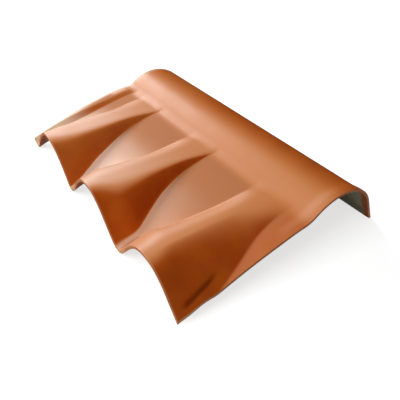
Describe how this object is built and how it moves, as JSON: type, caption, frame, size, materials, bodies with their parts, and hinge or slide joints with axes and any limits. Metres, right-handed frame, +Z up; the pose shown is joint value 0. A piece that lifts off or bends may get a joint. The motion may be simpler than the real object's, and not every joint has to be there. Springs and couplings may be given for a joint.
{
  "type": "ridge cap",
  "caption": "Fibre cement ridge cap: a thin moulded sheet with waves at the eave that narrow and die out at the foot of a rounded ridge roll.",
  "frame": {"origin": "centre of the bounding box on the floor plane", "axes": "+X along the ridge, +Y from the wavy eave to the roll, +Z up with the crests level"},
  "size_m": [0.72, 0.5108, 0.1235],
  "materials": {
    "painted_fibre_cement": "satin terracotta paint on the upper face, bare grey cement below"
  },
  "bodies": {
    "root": {"ridge_cap": "painted_fibre_cement"}
  },
  "joints": []
}
